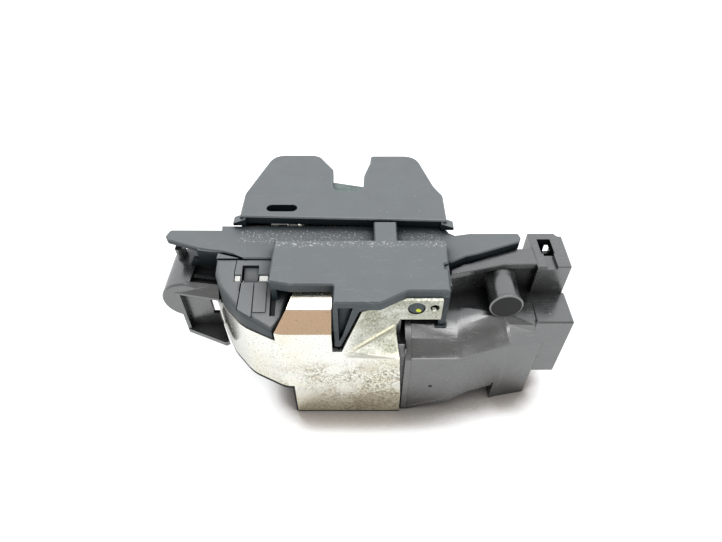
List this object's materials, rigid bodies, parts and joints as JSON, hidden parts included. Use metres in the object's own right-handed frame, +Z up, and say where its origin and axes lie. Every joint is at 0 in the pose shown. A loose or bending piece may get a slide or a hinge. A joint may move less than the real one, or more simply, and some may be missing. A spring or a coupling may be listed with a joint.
{
  "type": "boot lid lock",
  "caption": "Flat boot lid lock: rotary claw and pawl on a pressed notched bracket, with a geared release motor in moulded housings and a connector socket.",
  "frame": {"origin": "on the surface the lock lies on, under the middle of the lock; the flat underside of the lid is at z = 0", "axes": "+X along the lock towards the connector, +Y towards the open end of the striker notch, +Z up through the ear plate"},
  "size_m": [0.1415, 0.0796, 0.0617],
  "materials": {
    "matt_black": "matt moulded",
    "satin_black": "satin moulded",
    "housing_black": "semi-gloss moulded",
    "zinc": "zinc plated, worn",
    "steel": "bright",
    "spring_steel": "drawn wire",
    "white_acetal": "natural moulded",
    "rubber": "matt",
    "brass": "bright"
  },
  "bodies": {
    "base": {"housing": "housing_black", "bottom_cover": "housing_black", "latch_carrier": "matt_black", "clip_bar": "white_acetal", "front_cover": "satin_black", "ear_cover": "matt_black", "bracket": "zinc", "claw_pin": "steel", "pawl_pin": "steel", "lever_pin": "steel", "claw_spring": "spring_steel", "pawl_spring": "spring_steel", "striker_buffer": "rubber", "wheel_axle": "steel", "motor_can": "steel", "motor_cap": "matt_black", "motor_terminal_1": "brass", "motor_terminal_2": "brass", "switch_body": "housing_black", "terminal_1": "brass", "terminal_2": "brass", "terminal_3": "brass", "terminal_4": "brass", "bracket_screw_1": "steel", "bracket_screw_2": "steel", "cover_screw_1": "steel", "cover_screw_2": "steel", "cover_screw_3": "steel"},
    "claw": {"claw": "steel"},
    "pawl": {"pawl": "steel"},
    "release_lever": {"release_lever": "white_acetal"},
    "wheel": {"worm_wheel": "white_acetal", "release_cam": "white_acetal"},
    "rotor": {"motor_shaft": "steel", "worm": "brass"},
    "button": {"switch_button": "white_acetal"}
  },
  "joints": [
    {"name": "motor_spin", "type": "hinge", "parent": "base", "child": "rotor", "pos_m": [-0.002, -0.0085, 0.031], "axis": [1, 0, 0], "range_deg": [0, 2880]},
    {"name": "wheel_turn", "type": "hinge", "parent": "base", "child": "wheel", "pos_m": [-0.002, -0.0225, 0.0285], "axis": [0, 0, 1], "range_deg": [0, 96.1]},
    {"name": "lever_turn", "type": "hinge", "parent": "base", "child": "release_lever", "pos_m": [-0.02, -0.009, 0.0541], "axis": [0, 0, 1], "range_deg": [0, 8.95]},
    {"name": "pawl_turn", "type": "hinge", "parent": "base", "child": "pawl", "pos_m": [-0.023, 0.0246, 0.0538], "axis": [0, 0, 1], "range_deg": [-6.75, 0]},
    {"name": "claw_turn", "type": "hinge", "parent": "base", "child": "claw", "pos_m": [0.0074, 0.0189, 0.0538], "axis": [0, 0, 1], "range_deg": [0, 55], "stiffness_Nm_per_rad": 0.02, "springref_deg": -34.38},
    {"name": "button_press", "type": "slide", "parent": "base", "child": "button", "axis": [-1, 0, 0], "range_m": [0, 0.00222]}
  ],
  "couplings": [
    {"joint": "wheel_turn", "follows": "motor_spin", "ratio": 0.033333},
    {"joint": "lever_turn", "follows": "motor_spin", "ratio": 0.00309},
    {"joint": "pawl_turn", "follows": "motor_spin", "ratio": -0.00233},
    {"joint": "button_press", "follows": "motor_spin", "m_per_rad": 0.0000438}
  ]
}
